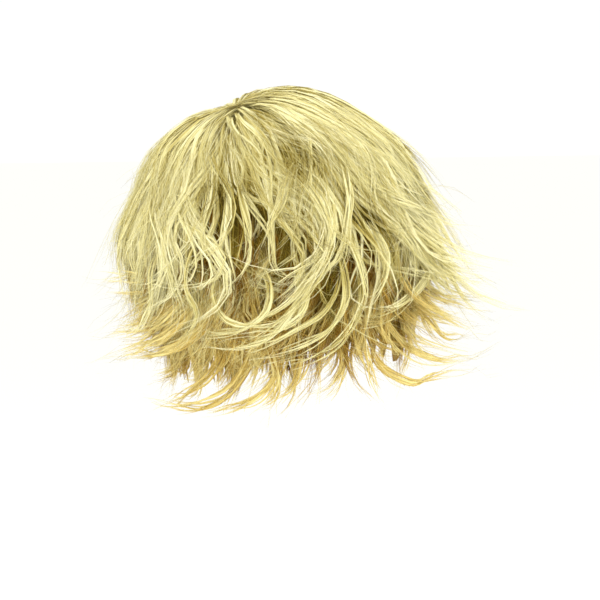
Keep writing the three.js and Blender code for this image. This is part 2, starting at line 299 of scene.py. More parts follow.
def weft(row):
    """The locks of one row of a layer's table, with its chances worked out lock by lock."""
    n = row["locks"]
    first, last = row["turns"]
    turn = np.linspace(first, last, n) + chance.uniform(-0.5, 0.5, n) * (last - first) / n
    front = ease(np.abs(turn), *row.get("front", (72, 104)))
    pick = chance.uniform(0, 1, (14, n))

    def between(key, number):
        low, high = row[key]
        return low + (high - low) * pick[number]

    root = row["root"] * (0.88 + 0.24 * pick[3])
    hem = between("hem", 0) + row.get("side_longer", 0) * ease(np.abs(turn), 50, 105)
    start = arc_at(turn, root)
    if "begin" in row:
        start = between("begin", 9)
    back_flick, front_flick = row["flick"]
    flick = (back_flick[0] + (back_flick[1] - back_flick[0]) * pick[1]) * (1 - front)
    flick = flick + (front_flick[0] + (front_flick[1] - front_flick[0]) * pick[1]) * front
    towards = np.where(turn < 0, 1 - 2 * front, 1)
    split = 1 - np.abs(towards)
    against = np.where(pick[12] < row.get("against", 0.2) + 0.3 * split, -0.7, 1)
    size = 0.65 + 0.7 * pick[6]
    lock = {
        "turn": turn,
        "start": start,
        "astray": row.get("astray", 0) * np.clip(chance.normal(0, 1, n), -2, 2),
        "abreast": row.get("astray", 0) * np.clip(chance.normal(0, 1, n), -2, 2),
        "length": (arc_at(turn, hem) - start) * MEAN_RADIUS,
        "side": np.radians(row["aside"] * towards * against * (0.3 + pick[11]) + chance.normal(0, 12, n)),
        "lean": np.radians(row.get("lean", 0)),
        "wave": np.radians(row["wave"] * (0.4 + 1.2 * pick[5])),
        "waves": 1 + 0.5 * pick[13],
        "phase": 0.5 * np.sin(turn / 17 + row["lift"] * 9) + 0.35 * pick[7],
        "lift": row["lift"] * LAYER * (0.7 + 0.6 * pick[8]),
        "over": row.get("over", 0) * np.ones(n),
        "rooted": row.get("rooted", 0.25),
        "puff": row["puff"] * pick[4],
        "free": row.get("free", 0.4) + 0.25 * pick[10],
        "flick": np.radians(flick),
        "wide": row["wide"] * size,
        "deep": row.get("deep", 0.003),
        "clump": row.get("clump", 0.55) + 0.3 * pick[2],
        "loose": row.get("loose", 0.003),
        "strip": row["strip"],
        "uneven": row.get("uneven", 0.35),
        "tone": np.clip(chance.normal(row["tone"][0], row["tone"][1], n), 0, 1),
        "root_shade": row.get("root_shade", 0.2) * (0.3 + 1.4 * pick[1]),
        "root_reach": 0.15 + 0.3 * pick[12],
        # The row's share of the painted shade round the dark spots
        "low": row.get("low", 1),
        "open": row.get("open", 0),
        "bulge": row.get("bulge", 0.3),
        "wisps": np.maximum(np.round(row["wisps"] * size), 1),
    }
    return {key: np.broadcast_to(np.asarray(value, float), (n,)) for key, value in lock.items()}


def comb(locks, below):
    """The middle lines of locks, laid step by step over a layer, with their ways out and across."""
    turn, arc, raised = locks["turn"], locks["start"], 0 * locks["start"]
    stride = locks["length"] / (STEPS - 1)
    spots, outs = [], []
    for t in np.linspace(0, 1, STEPS):
        level = -on_hair(turn, arc, raised)[0][:, 2]
        lift = (locks["lift"] + locks["over"] * (1 - 0.6 * ease(level, 0.05, 0.11))) * (
            locks["rooted"] + (1 - locks["rooted"]) * ease(t, 0, 0.18)) + inner_lift(below, level)
        lift = lift + locks["puff"] * math.sin(math.pi * min(t / 0.9, 1)) ** 2
        spot, out = on_hair(turn, arc, lift + raised)
        away = 1 - ease(arc, 0.1, 0.9)
        spots.append(spot + np.stack([locks["astray"] * away, locks["abreast"] * away, 0 * away], -1))
        outs.append(out)
        wave = np.sin(2 * math.pi * (locks["waves"] * t + locks["phase"]))
        swing = locks["wave"] * wave * ease(t, 0.05, 0.5)
        bulge = locks["bulge"] * math.sin(math.pi * min(t / 0.7, 1))
        straight = 1 - 0.85 * (1 - ease(arc, 0.15, 0.6))
        heading = (locks["side"] * (ease(t, locks["free"] * 0.6, 1) - bulge) + swing) * straight
        heading = heading + locks["lean"] * ease(arc, 0.1, 0.6)
        rise = locks["flick"] * ease(t, locks["free"], 0.92)
        around = MEAN_RADIUS * np.maximum(np.sin(np.clip(arc, 0, math.pi / 2)), 0.15)
        turn = turn + np.degrees(stride * np.cos(rise) * np.sin(heading) / around)
        arc = arc + stride * np.cos(rise) * np.cos(heading) / MEAN_RADIUS
        raised = raised + stride * np.sin(rise)
    line, out = np.stack(spots, 1), np.stack(outs, 1)
    way = unit(np.gradient(line, axis=1))
    across = unit(np.cross(out, way))
    return line, np.cross(way, across), across


def part(locks, combed, points=WISP_POINTS):
    """The wisps that locks part into: middle points, two ways across, half widths and depths, and tones."""
    line, proud, across = combed
    count = locks["wisps"].astype(int)
    owner = np.repeat(np.arange(len(count)), count)
    total = len(owner)

    def of(key):
        return locks[key][owner][:, None]

    own = np.linspace(0, 1, points)[None, :]
    begin = chance.uniform(0, 0.06, (total, 1))
    at = begin + (1 - of("uneven") * chance.uniform(0, 1, (total, 1)) ** 2 - begin) * own
    place = at * (STEPS - 1)
    low = np.clip(place.astype(int), 0, STEPS - 2)
    share = (place - low)[..., None]

    def sample(values):
        first, second = values[owner[:, None], low], values[owner[:, None], low + 1]
        return first + (second - first) * share

    middle, proud, across = sample(line), unit(sample(proud)), unit(sample(across))
    away = np.hypot(middle[..., 0], middle[..., 1] - WHORL_BACK)
    fan = np.where(middle[..., 2] < -0.06, 1, np.clip(away / 0.055, 0.35, 1))
    beside = chance.uniform(-1, 1, (total, 1))
    above = chance.uniform(-1, 1, (total, 1)) * np.sqrt(1 - beside**2)
    close = 1 - of("clump") * ease(at, 0.2, 0.9)
    beside = beside * of("wide") * fan * close
    above = above * of("deep") * (0.3 + 0.7 * ease(at, 0, 0.3)) * (0.3 + 0.7 * close)
    roam = of("loose")[..., None] * chance.normal(0, 1, (total, 1, 2)) * ease(at, 0.3, 1)[..., None] ** 2
    turns, starts = chance.uniform(0.8, 2.4, (total, 1, 2)), chance.uniform(0, 2 * math.pi, (total, 1, 2))
    ripple = np.sin(2 * math.pi * turns * at[..., None] + starts) * ease(at, 0.05, 0.6)[..., None]
    roam = roam + 0.4 * of("loose")[..., None] * ripple
    centre = middle + across * (beside + roam[..., 0])[..., None]
    centre = centre + proud * (above + 0.6 * np.abs(roam[..., 1]))[..., None]
    for axis, way, reach, give in HELD_WITHIN:
        beyond = np.maximum(centre[..., axis] * way - reach, 0)
        held = way * (reach + give * (1 - np.exp(-beyond / give)))
        centre[..., axis] = np.where(beyond > 0, held, centre[..., axis])
    twist = chance.normal(0, 0.22, (total, 1)) + chance.normal(0, 0.4, (total, 1)) * ease(own, 0.1, 1)
    cos, sin = np.cos(twist)[..., None], np.sin(twist)[..., None]
    proud, across = proud * cos + across * sin, across * cos - proud * sin
    wide = of("strip") * chance.uniform(0.6, 1.4, (total, 1)) * np.clip(fan, 0.5, 1)
    wide = wide * np.interp(own, [0, 0.15, 0.55, 0.85, 1], [0.5, 1, 0.95, 0.65, 0.2])
    widest = wide.max(axis=1, keepdims=True) * 1000
    at_root = 1 - ease(at, 0, of("root_reach"))
    tone = of("tone") + chance.normal(0, 0.06, (total, 1)) - of("root_shade") * at_root
    kept = np.ones(total, bool)
    # Painted shade: wisps near each spot take a darker tone, by each row's share, and some top wisps are left
    # out
    for spot, reach, shade_taken, gone in painted_shade_places:
        near = np.exp(-((centre - spot) ** 2).sum(-1) / reach**2)
        tone = tone - of("low") * shade_taken * near
        passes = near[:, points // 4 :].max(axis=1) > 0.3
        kept &= chance.uniform(0, 1, total) > of("open")[:, 0] * gone * passes
    tone = np.stack([at, np.clip(tone, 0, 1)], -1)
    return tuple(values[kept] for values in (centre, proud, across, wide, tone, widest))


def strands(name, parted, skin, sides=4, flat=0.13):
    """One piece of closed tapered strands: with four sides a thin ribbon of fibres, with three a fibre."""
    centre, proud, across, wide, tone, widest = parted
    total, points = wide.shape
    ring = np.arange(sides) * 2 * math.pi / sides
    spots = centre[:, :, None] + wide[:, :, None, None] * (
        proud[:, :, None] * (flat * np.sin(ring))[:, None] + across[:, :, None] * np.cos(ring)[:, None])
    number = np.arange(total * points * sides).reshape(total, points, sides)
    this, following = number[:, :-1], number[:, 1:]
    quads = np.stack([this, np.roll(this, -1, 2), np.roll(following, -1, 2), following], -1).reshape(-1, 4)
    ends = np.concatenate([number[:, 0, ::-1], number[:, -1]], 0)
    made = bpy.data.meshes.new(name)
    made.vertices.add(number.size)
    made.vertices.foreach_set("co", spots.astype(np.float32).ravel())
    made.loops.add(quads.size + ends.size)
    made.loops.foreach_set("vertex_index", np.concatenate([quads.ravel(), ends.ravel()]).astype(np.int32))
    made.polygons.add(len(quads) + len(ends))
    starts = np.concatenate([np.arange(len(quads)) * 4, quads.size + np.arange(len(ends)) * sides])
    made.polygons.foreach_set("loop_start", starts.astype(np.int32))
    made.polygons.foreach_set("use_smooth", np.ones(len(starts), bool))
    made.update(calc_edges=True)
    # The place across in millimetres from a start of its own, the place along, the tone, the share across
    tones = np.empty((total, points, sides, 4), np.float32)
    share = (np.cos(ring) + 1) / 2
    tones[..., 0] = share * widest[:, :, None] + chance.uniform(0, 400, (total, 1, 1))
    tones[..., 1:3] = tone[:, :, None]
    tones[..., 3] = share
    made.attributes.new("tone", "FLOAT_COLOR", "POINT").data.foreach_set("color", tones.ravel())
    columns = math.ceil(math.sqrt(total * 2))
    lines = math.ceil(total / columns)
    across_map, down_map = np.arange(total) % columns, np.arange(total) // columns
    side = np.arange(sides)
    left = (across_map[:, None, None] + (side[None, None] + 0.1) / sides) / columns
    right = (across_map[:, None, None] + (side[None, None] + 0.9) / sides) / columns
    height = (down_map[:, None] + 0.04 + 0.92 * np.linspace(0, 1, points)[None]) / lines
    top, foot = height[:, :-1, None] + 0 * left, height[:, 1:, None] + 0 * left
    left, right = left + 0 * top, right + 0 * top
    maps = np.stack([np.stack([left, top], -1), np.stack([right, top], -1),
                     np.stack([right, foot], -1), np.stack([left, foot], -1)], -2).reshape(-1, 2)
    cell = np.stack([across_map / columns, down_map / lines], -1)
    corner = np.stack([0.5 + 0.3 * np.cos(ring), 0.02 + 0.01 * np.sin(ring)], -1) / (columns, lines)
    root_map = (cell[:, None] + corner[None]).reshape(-1, 2)
    tip_map = (cell[:, None] + corner[None] + np.array([0, 0.96 / lines])).reshape(-1, 2)
    layer = made.uv_layers.new(name="OFBake")
    layer.data.foreach_set("uv", np.concatenate([maps, root_map, tip_map]).astype(np.float32).ravel())
    made.materials.append(skin)
    piece = bpy.data.objects.new(name, made)
    bpy.context.collection.objects.link(piece)
    if sides == 4:
        only(piece)
        bpy.ops.object.shade_smooth_by_angle(angle=math.radians(75))
    return piece


def hair_mass(name, skin, below, lift, top, foot, ragged, turns, side_longer=0):
    """The dark inner mass of a layer: a closed sheet with a ragged foot, under its wisps."""
    around, down = 121, 22
    turn = np.linspace(turns[0], turns[1], around)[:, None]
    reach = foot + side_longer * ease(np.abs(turn), 50, 105) - ragged * chance.uniform(0, 1, (around, 1))
    start, end = arc_at(turn, top), arc_at(turn, reach)
    arc = start + (end - start) * np.linspace(0, 1, down)[None]
    level = -on_hair(turn + 0 * arc, arc, 0 * arc)[0][..., 2]
    thick = 0.0014 * np.linspace(1, 0.3, down)[None] + 0 * arc
    base = inner_lift(below, level) + lift * (0.3 + 0.7 * ease(level, top, top + 0.03))
    outer, _ = on_hair(turn + 0 * arc, arc, base)
    inner, _ = on_hair(turn + 0 * arc, arc, base - thick)
    spots = np.concatenate([outer.reshape(-1, 3), inner.reshape(-1, 3)])
    number = np.arange(around * down).reshape(around, down)
    a, b, c, d = number[:-1, :-1], number[:-1, 1:], number[1:, 1:], number[1:, :-1]
    quads = np.stack([a, b, c, d], -1).reshape(-1, 4)
    far = around * down
    rim = np.concatenate([number[:, 0], number[-1, 1:], number[::-1, -1][1:], number[0, ::-1][1:]])
    seams = np.stack([rim[:-1], rim[1:], rim[1:] + far, rim[:-1] + far], -1)
    faces = np.concatenate([quads, quads[:, ::-1] + far, seams]).tolist()
    made = bpy.data.meshes.new(name)
    made.from_pydata(spots.tolist(), [], faces)
    piece = bpy.data.objects.new(name, made)
    bpy.context.collection.objects.link(piece)
    only(piece)
    bpy.ops.object.mode_set(mode="EDIT")
    bpy.ops.mesh.select_all(action="SELECT")
    bpy.ops.mesh.remove_doubles(threshold=1e-6)
    bpy.ops.mesh.normals_make_consistent(inside=False)
    bpy.ops.object.mode_set(mode="OBJECT")
    bpy.ops.object.shade_smooth_by_angle(angle=math.radians(60))
    made.materials.append(skin)
    return piece


def mass_finish(name, dark, light, root=None):
    """Matt dark fibres in streaks down the mass: darker under-hair, and painted shade for the deep gaps
    between the locks. Another, lighter colour near the roots, where one is given, takes less painted shade
    where the gaps are shallow.
    """
    made, wire, shader = material(name, Roughness=0.6)
    place = wire.node("ShaderNodeTexCoord", {}, {}, "Object")
    stretched = wire.node("ShaderNodeVectorMath", {"operation": "MULTIPLY"},
                          {0: place, 1: (900.0, 900.0, 45.0)})
    streak = wire.node("ShaderNodeTexNoise", {}, {"Vector": stretched, "Scale": 1.0, "Detail": 2.0})
    tint = wire.node("ShaderNodeMix", {"data_type": "RGBA"},
                     {"Factor": (streak - 0.3) * 2.2, 6: colour(dark), 7: colour(light)}, 2)
    # Lighter near the roots: less painted shade where the gaps over the mass are shallow
    if root:
        height = wire.node("ShaderNodeSeparateXYZ", {}, {"Vector": place}, "Z")
        less_shade_near_roots = wire.node("ShaderNodeMapRange", {"interpolation_type": "SMOOTHSTEP"},
                          {"Value": height, "From Min": -0.06, "From Max": -0.015})
        tint = wire.node("ShaderNodeMix", {"data_type": "RGBA"},
                         {"Factor": less_shade_near_roots, 6: tint, 7: colour(root)}, 2)
    feed(shader, "Base Color", tint)
    bump = wire.node("ShaderNodeBump", {}, {"Strength": 0.6, "Distance": 0.0006, "Height": streak})
    feed(shader, "Normal", bump)
    return made


def wisp_finish(name, stops, thin=0.0, cut=True):
    """Silky fibres along each strand: a ramp over its tone, with broad bands and fine streaks across it,
    and with gaps between the fibres that widen towards the edges, the root and the tip."""
    made, wire, shader = material(name, Roughness=0.55, Specular_IOR_Level=0.06)
    tone = wire.node("ShaderNodeAttribute", {"attribute_name": "tone"}, {}, "Color")
    split = tone.node("ShaderNodeSeparateColor", {}, {"Color": tone}, "Red")
    beside, along, lock = (Wire(split.socket.node.outputs[key]) for key in ("Red", "Green", "Blue"))
    share = Wire(tone.socket.node.outputs["Alpha"])
    place = wire.node("ShaderNodeCombineXYZ", {}, {"X": beside * 5.5, "Y": along * 5})
    streak = wire.node("ShaderNodeTexNoise", {},
                       {"Vector": place, "Scale": 1.0, "Detail": 2.0, "Roughness": 0.6})
    wider = wire.node("ShaderNodeCombineXYZ", {}, {"X": beside * 1.0, "Y": along * 1.5, "Z": 7.0})
    band = wire.node("ShaderNodeTexNoise", {}, {"Vector": wider, "Scale": 1.0, "Detail": 1.0})
    value = lock + (streak - 0.5) * 1.1 + (band - 0.5) * 0.9
    tint = wire.node("ShaderNodeValToRGB", {"stops": stops}, {"Fac": value})
    feed(shader, "Base Color", tint)
    # Painted glow: the fibres give off light in their own colour, standing in for light passed on between
    # them
    feed(shader, "Emission Color", tint)
    shader.inputs["Emission Strength"].default_value = PAINTED_GLOW
    if cut:
        edge = wire.node("ShaderNodeMath", {"operation": "ABSOLUTE"}, {0: share * 2 - 1})
        tip = wire.node("ShaderNodeMapRange", {"interpolation_type": "SMOOTHSTEP"},
                        {"Value": along, "From Min": 0.4, "From Max": 1.0, "To Min": 0.0, "To Max": 0.17})
        root = wire.node("ShaderNodeMapRange", {"interpolation_type": "SMOOTHSTEP"},
                         {"Value": along, "From Min": 0.16, "From Max": 0.0, "To Min": 0.0, "To Max": 0.28})
        hold = edge**2 * 0.34 + tip + root + (0.37 + thin)
        fibres = (streak * 0.75 + band * 0.25 - hold) * 11.0
        feed(shader, "Alpha", wire.node("ShaderNodeClamp", {}, {"Value": fibres}))
    return made


BLOND = [(0.0, "52430f"), (1.0, "f1ebbe"), (0.25, "8c7829"), (0.5, "c0b064"), (0.75, "e4dc9f")]
GOLDEN = [(0.0, "5c3f0a"), (1.0, "ecdf9c"), (0.25, "987228"), (0.5, "c9ab55"), (0.75, "e0cc80")]
# In each layer the rows further down take lower tones: darker under-hair, and painted shade for their depth
# under the rows above
nape_rows = [
    dict(locks=54, turns=(-76, 76), root=0.130, hem=(0.206, 0.240), lift=0.15, puff=0.001, wave=22,
         flick=((0, 60), (10, 60)), aside=70, against=0.12, wide=0.007, strip=0.0021, tone=(0.50, 0.13),
         wisps=10),
    dict(locks=52, turns=(-80, 80), root=0.113, hem=(0.200, 0.246), lift=0.45, puff=0.003, wave=26,
         flick=((0, 60), (10, 60)), aside=95, against=0.15, clump=0.45, loose=0.0026, wide=0.006,
         strip=0.0015, tone=(0.75, 0.11), wisps=11, low=0.6),
]
nape_skin = wisp_finish("nape_wisp", GOLDEN)
nape_pieces = []
for number, row in enumerate(nape_rows, 1):
    locks = weft(row)
    nape_pieces.append(strands(f"nape_wisps_{number}", part(locks, comb(locks, 0)), nape_skin))
nape_mass = hair_mass("nape_mass", mass_finish("nape_mass", "8a6822", "c0a052"), below=0, lift=0.001,
                      top=0.114, foot=0.206, ragged=0.035, turns=(-70, 70))
for piece in nape_pieces + [nape_mass]:
    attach(piece, "root")
    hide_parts("nape_hair")

# The middle hair: dark blond, three rows of wefts from above the ears round the back, and a short flared
# row before each ear. It hangs straight under the crown hair, and its ends flick out below it.
middle_rows = [
    dict(locks=54, turns=(-118, 118), root=0.092, hem=(0.184, 0.216), side_longer=0.020, lift=0.15,
         puff=0.001, wave=20, flick=((0, 65), (15, 75)), aside=60, wide=0.008, strip=0.0028,
         tone=(0.36, 0.11), wisps=8),
    dict(locks=60, turns=(-122, 122), root=0.074, hem=(0.174, 0.208), side_longer=0.022, lift=0.35,
         puff=0.002, wave=22, flick=((0, 75), (25, 80)), aside=65, wide=0.008, strip=0.0026,
         tone=(0.50, 0.13), wisps=9, low=0.9),
    dict(locks=60, turns=(-126, 126), root=0.056, hem=(0.166, 0.206), side_longer=0.034, lift=0.65,
         puff=0.004, wave=26, flick=((10, 85), (35, 85)), aside=85, against=0.15, clump=0.45, loose=0.0026,
         wide=0.007, strip=0.0020, tone=(0.77, 0.10), wisps=10, low=0.5, open=0.4),
    *(dict(locks=15, turns=turns, root=0.058, hem=(0.186, 0.230), lift=0.7, puff=0.003, wave=22,
           flick=((60, 90), (70, 100)), aside=25, clump=0.45, loose=0.003, wide=0.007, free=0.2, strip=0.0016,
           tone=(0.76, 0.11), wisps=11, low=0.5)
      for turns in ((-127, -98), (98, 127))),
]
middle_skin = wisp_finish("middle_wisp", GOLDEN)
middle_pieces = []
for number, row in enumerate(middle_rows, 1):
    locks = weft(row)
    middle_pieces.append(strands(f"middle_wisps_{number}", part(locks, comb(locks, 1)), middle_skin))
middle_mass = hair_mass("middle_mass", mass_finish("middle_mass", "74561a", "a8853a"), below=1, lift=0.001,
                        top=0.058, foot=0.176, ragged=0.03, turns=(-122, 122), side_longer=0.015)
for piece in middle_pieces + [middle_mass]:
    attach(piece, "root")
    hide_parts("middle_hair")

# The crown hair: light blond over darker roots, from the whorl down the back and the sides. Its short upper
# locks lie over longer ones and curve in round the back, and its last rows flare out before the ears.
from_whorl = dict(root=0.0010, astray=0.006, over=0.002, rooted=0.4, puff=0.002)
crown_rows = [
    dict(locks=56, turns=(-127, 127), root=0.045, hem=(0.134, 0.176), side_longer=0.016, lift=0.15,
         over=0.001, puff=0.002, wave=18, flick=((-25, 25), (5, 60)), aside=40, wide=0.008, strip=0.0030,
         tone=(0.26, 0.09), wisps=8),
    dict(locks=62, turns=(-136, 136), root=0.022, hem=(0.124, 0.168), side_longer=0.016, lift=0.3,
         over=0.002, puff=0.002, wave=18, flick=((-25, 15), (5, 50)), aside=40, wide=0.009, strip=0.0028,
         tone=(0.44, 0.12), wisps=10),
    dict(from_whorl, locks=66, turns=(-136, 136), begin=(-0.2, 0.1), hem=(0.114, 0.165), side_longer=0.014,
         lift=0.35, wave=16, flick=((-25, 10), (0, 45)), aside=35, wide=0.010, strip=0.0030,
         tone=(0.55, 0.12), wisps=12, root_shade=0.2, low=0.9, open=0.8),
    dict(from_whorl, locks=46, turns=(-136, 136), begin=(-0.2, 0.15), hem=(0.148, 0.178), side_longer=0.020,
         lift=0.45, wave=20, flick=((-25, 15), (30, 75)), aside=55, clump=0.45, loose=0.0026, wide=0.009,
         strip=0.0024, tone=(0.72, 0.10), wisps=12, root_shade=0.15, low=0.6, open=0.95),
    dict(from_whorl, locks=44, turns=(-136, 136), begin=(-0.2, 0.2), hem=(0.116, 0.148), side_longer=0.018,
         lift=0.58, wave=20, flick=((-25, 5), (20, 60)), aside=45, clump=0.45, loose=0.0026, wide=0.010,
         strip=0.0026, tone=(0.74, 0.10), wisps=13, root_shade=0.15, low=0.6, open=0.95),
    dict(from_whorl, locks=40, turns=(-136, 136), begin=(-0.2, 0.2), hem=(0.082, 0.114), side_longer=0.012,
         lift=0.7, wave=16, flick=((-25, -5), (5, 35)), aside=30, clump=0.45, loose=0.0026, wide=0.010,
         strip=0.0028, tone=(0.74, 0.10), wisps=12, root_shade=0.15, low=0.6, open=0.95),
    dict(locks=90, turns=(-128, 128), root=0.036, hem=(0.110, 0.176), side_longer=0.014, lift=0.7,
         over=0.002, puff=0.003, wave=30, flick=((-15, 25), (5, 45)), aside=60, free=0.25, wide=0.0032,
         deep=0.002, loose=0.0024, strip=0.0014, tone=(0.78, 0.09), wisps=5, low=0.3),
    dict(locks=44, turns=(-100, 8), root=0.05, hem=(0.160, 0.205), lift=0.8, over=0.002, puff=0.003,
         wave=16, flick=((-5, 35), (30, 60)), aside=110, against=0.08, bulge=0.45, free=0.3, clump=0.5,
         loose=0.003, wide=0.004, strip=0.0016, tone=(0.84, 0.07), wisps=7, low=0.2, open=0.8),
    *(dict(locks=14, turns=turns, root=0.030, hem=(0.140, 0.186), lift=0.7, over=0.002, puff=0.003, wave=20,
           flick=((40, 80), (70, 100)), aside=20, free=0.25, clump=0.45, loose=0.003, wide=0.008,
           strip=0.0018, tone=(0.78, 0.10), wisps=11, low=0.3)
      for turns in ((-134, -104), (104, 134))),
]
crown_skin = wisp_finish("crown_wisp", BLOND)
# The deepest crown row takes the golden ramp: golden under-hair, and painted shade for its depth
golden_skin = wisp_finish("crown_under_hair_and_shade", GOLDEN)
crown_pieces = []
for number, row in enumerate(crown_rows, 1):
    locks = weft(row)
    skin = golden_skin if number == 1 else crown_skin
    crown_pieces.append(strands(f"crown_wisps_{number}", part(locks, comb(locks, 2)), skin))
crown_mass = hair_mass("crown_mass", mass_finish("crown_mass", "584612", "8c7630", "ab9a58"), below=2,
                       lift=0.0015, top=0.0005, foot=0.120, ragged=0.03, turns=(-137, 137), side_longer=0.01)

# Loose fibres stand off the locks, cross the gaps between them, and fray the outline: most are left together
# in thin webs, and the rest are single
web_rows = [
    dict(locks=40, turns=(-131, 131), root=0.0010, begin=(0.1, 0.8), hem=(0.12, 0.176), side_longer=0.012,
         lift=0.75, over=0.002, rooted=0.6, puff=0.004, wave=40, flick=((-20, 30), (0, 50)), aside=60,
         free=0.2, wide=0.010, deep=0.004, clump=0.1, loose=0.006, strip=0.0040, tone=(0.62, 0.14), wisps=5,
         open=0.8),
    dict(locks=30, turns=(-126, 126), root=0.07, hem=(0.17, 0.214), side_longer=0.012, lift=0.7, over=0.001,
         puff=0.004, wave=44, flick=((0, 70), (0, 70)), aside=60, free=0.2, wide=0.010, deep=0.004,
         clump=0.1, loose=0.006, strip=0.0036, tone=(0.62, 0.14), wisps=5),
]
loose_rows = [
    dict(locks=250, turns=(-131, 131), root=0.0010, begin=(0.05, 0.6), hem=(0.10, 0.17), side_longer=0.012,
         lift=0.7, over=0.004, rooted=0.6, puff=0.004, wave=34, flick=((-20, 30), (0, 50)), aside=60,
         free=0.2, wide=0.007, deep=0.004, clump=0.1, loose=0.006, strip=0.00012, tone=(0.76, 0.14),
         wisps=4),
    dict(locks=220, turns=(-126, 126), root=0.07, hem=(0.17, 0.212), side_longer=0.012, lift=0.8,
         over=0.002, puff=0.004, wave=34, flick=((0, 70), (0, 70)), aside=60, free=0.2, wide=0.007,
         deep=0.004, clump=0.1, loose=0.007, strip=0.00012, tone=(0.70, 0.14), wisps=3),
]
web_skin = wisp_finish("loose_web", BLOND, thin=0.13)
loose_skin = wisp_finish("loose_fibre", BLOND, cut=False)
for number, (row, below) in enumerate(zip(web_rows, (2, 1)), 1):
    locks = weft(row)
    crown_pieces.append(strands(f"loose_webs_{number}", part(locks, comb(locks, below)), web_skin, flat=0.05))
for number, (row, below) in enumerate(zip(loose_rows, (2, 1)), 1):
    locks = weft(row)
    fibres = part(locks, comb(locks, below))
    crown_pieces.append(strands(f"loose_fibres_{number}", fibres, loose_skin, sides=3, flat=1.0))

